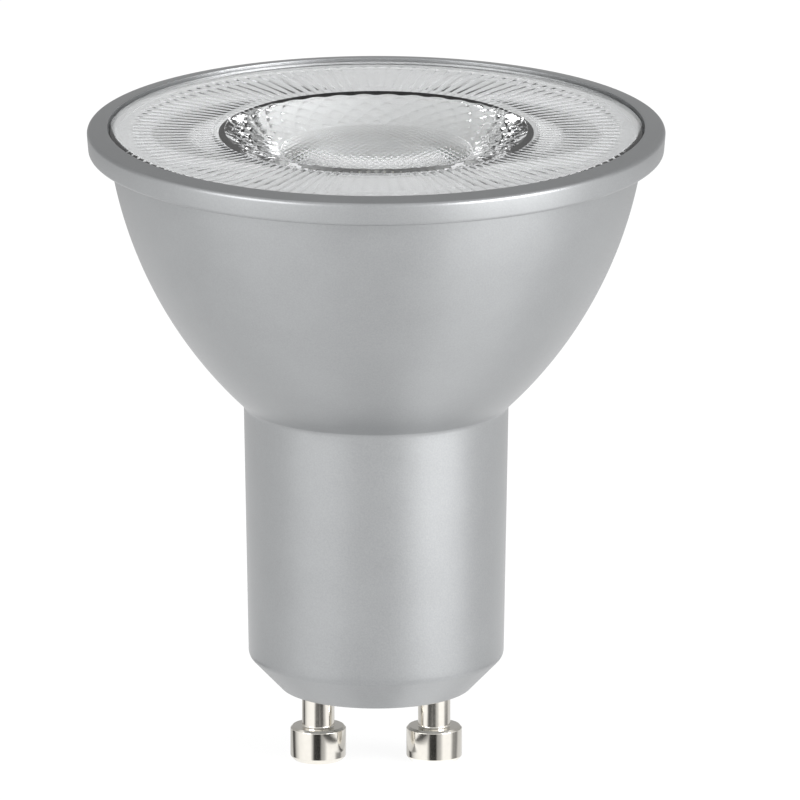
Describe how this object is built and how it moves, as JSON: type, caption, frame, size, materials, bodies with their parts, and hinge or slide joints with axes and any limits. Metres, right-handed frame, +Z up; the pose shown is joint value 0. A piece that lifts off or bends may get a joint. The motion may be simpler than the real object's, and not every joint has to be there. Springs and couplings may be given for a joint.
{
  "type": "gu10 reflector lamp bulb",
  "caption": "Mains-voltage spotlight bulb: silver moulded reflector-shaped housing, clear ribbed optic and a twist-lock bi-pin cap.",
  "frame": {"origin": "bottom centre of the bounding box: midway between the two contact pins, in the plane of their feet", "axes": "+Z up the lamp's axis from the pins to the optic; the two pins lie on the X axis; +Y is the back, away from the camera in the picture"},
  "size_m": [0.05, 0.05, 0.0564],
  "materials": {
    "silver_paint": "silver metallic paint, satin",
    "clear_optic": "clear moulded, polished with ribs and facets",
    "nickel_plate": "bright nickel plate on turned brass",
    "pressed_aluminium": "pressed sheet, plain",
    "white_plastic": "matt white moulding",
    "white_mask": "white solder mask",
    "led_resin": "yellow phosphor in a white frame",
    "screw_steel": "zinc-plated",
    "board_laminate": "green solder mask",
    "can_sleeve": "dark printed-free sleeve",
    "ferrite": "sintered, dull",
    "copper_wire": "enamelled copper",
    "resistor_enamel": "green enamel",
    "film_resin": "dipped resin",
    "chip_resin": "moulded black",
    "lead_white": "insulated wire",
    "lead_red": "insulated wire",
    "lead_black": "insulated wire"
  },
  "bodies": {
    "root": {"housing": "silver_paint", "optic": "clear_optic", "contact_pin_left": "nickel_plate", "contact_pin_right": "nickel_plate", "heat_sink": "pressed_aluminium", "reflector_cover": "white_plastic", "led_board": "white_mask", "led_package_1": "led_resin", "led_package_2": "led_resin", "led_package_3": "led_resin", "led_package_4": "led_resin", "led_package_5": "led_resin", "led_package_6": "led_resin", "led_package_7": "led_resin", "board_screw_left": "screw_steel", "board_screw_right": "screw_steel", "driver_board": "board_laminate", "bulk_capacitor": "can_sleeve", "output_capacitor": "can_sleeve", "choke_core": "ferrite", "choke_winding": "copper_wire", "fusible_resistor": "resistor_enamel", "film_capacitor": "film_resin", "bridge_rectifier": "chip_resin", "controller_chip": "chip_resin", "freewheel_diode": "chip_resin", "sense_resistor_1": "chip_resin", "sense_resistor_2": "chip_resin", "mains_lead_left": "lead_white", "mains_lead_right": "lead_white", "led_lead_positive": "lead_red", "led_lead_negative": "lead_black"}
  },
  "joints": []
}
